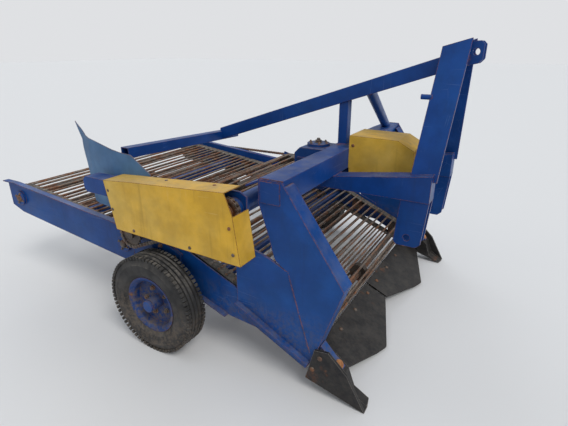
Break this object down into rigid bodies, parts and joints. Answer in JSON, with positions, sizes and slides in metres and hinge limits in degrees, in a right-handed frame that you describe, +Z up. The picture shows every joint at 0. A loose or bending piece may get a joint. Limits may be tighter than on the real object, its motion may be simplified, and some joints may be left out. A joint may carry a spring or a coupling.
{
  "type": "potato harvester",
  "caption": "Tractor-mounted two-row potato digger: steel shares lift the ridge onto rod webs that sift out the soil, driven through a shielded input shaft.",
  "frame": {"origin": "middle of the outer box at ground level, between the share tips and the rear of the cascade web", "axes": "+X forwards to the tractor, along the longest extent, +Y to the machine's left, +Z up"},
  "size_m": [2.242, 1.686, 1.2848],
  "materials": {
    "frame_paint": "cobalt blue enamel, chipped and rusty at edges",
    "sheet_paint": "faded grey-blue enamel on sheet steel",
    "guard_paint": "yellow enamel, scratched and stained",
    "share_steel": "black worn steel with rust",
    "web_steel": "rusty rods on rubber belts",
    "drive_steel": "oily rusted shafts, wheels and chain",
    "gear_casting": "blue painted casting",
    "bare_steel": "bare worn splines",
    "rim_paint": "blue painted pressed disc",
    "tyre_rubber": "aged black rubber"
  },
  "bodies": {
    "frame": {"front_beam": "frame_paint", "beam_apron": "frame_paint", "side_plate_right": "frame_paint", "side_plate_left": "frame_paint", "side_wall_right": "frame_paint", "side_wall_left": "frame_paint", "rear_rail_right": "frame_paint", "rear_rail_left": "frame_paint", "wall_ties": "frame_paint", "hitch_arm_right": "frame_paint", "hitch_arm_left": "frame_paint", "mast_leg_right": "frame_paint", "mast_leg_left": "frame_paint", "mast_head": "frame_paint", "top_brace": "frame_paint", "brace_post": "frame_paint", "brace_strut": "frame_paint", "tie_tube": "frame_paint", "deflector": "sheet_paint", "guard_bracket": "frame_paint", "gearbox": "gear_casting", "pto_guard": "guard_paint", "drive_tube": "frame_paint", "drive_sprocket": "drive_steel", "drive_chain": "drive_steel", "chain_guard": "guard_paint", "main_web": "web_steel", "cascade_web": "web_steel", "front_rollers": "drive_steel", "main_drive": "drive_steel", "cascade_drive": "drive_steel", "cascade_chain": "drive_steel", "support_rollers": "drive_steel", "share_bar": "share_steel", "share_right": "share_steel", "share_left": "share_steel", "point_right": "share_steel", "point_left": "share_steel", "wheel_bracket_right": "frame_paint", "wheel_bracket_left": "frame_paint"},
    "wheel_right": {"rim_right": "rim_paint", "tyre_right": "tyre_rubber"},
    "wheel_left": {"rim_left": "rim_paint", "tyre_left": "tyre_rubber"},
    "shaft": {"input_shaft": "bare_steel"}
  },
  "joints": [
    {"name": "wheel_right_spin", "type": "hinge", "parent": "frame", "child": "wheel_right", "pos_m": [0.054, -0.785, 0.225], "axis": [0, 1, 0], "continuous": true},
    {"name": "wheel_left_spin", "type": "hinge", "parent": "frame", "child": "wheel_left", "pos_m": [0.054, 0.785, 0.225], "axis": [0, 1, 0], "continuous": true},
    {"name": "input_turn", "type": "hinge", "parent": "frame", "child": "shaft", "pos_m": [0.744, 0, 0.7], "axis": [1, 0, 0], "continuous": true}
  ]
}
